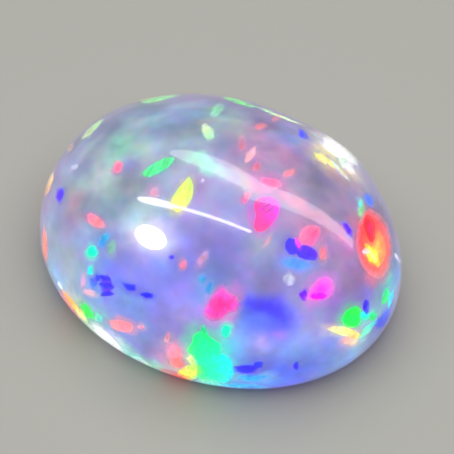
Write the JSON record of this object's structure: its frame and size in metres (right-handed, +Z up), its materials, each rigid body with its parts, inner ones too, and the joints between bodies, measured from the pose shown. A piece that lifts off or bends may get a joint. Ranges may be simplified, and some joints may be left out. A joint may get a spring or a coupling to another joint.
{
  "type": "loose opal cabochon",
  "caption": "Polished oval precious opal with a high dome, a rounded lower edge and a flat base, see-through lavender with flashes of colour inside.",
  "frame": {"origin": "middle of the flat base, on the surface that the stone rests on", "axes": "+X along the long axis of the oval, +Y along its short axis, +Z up to the top of the dome"},
  "size_m": [0.01, 0.008, 0.0047],
  "materials": {
    "opal": "clear to slightly milky lavender precious opal, polished to a wet gloss, with small flashes of spectral colour inside"
  },
  "bodies": {
    "root": {"opal": "opal"}
  },
  "joints": []
}
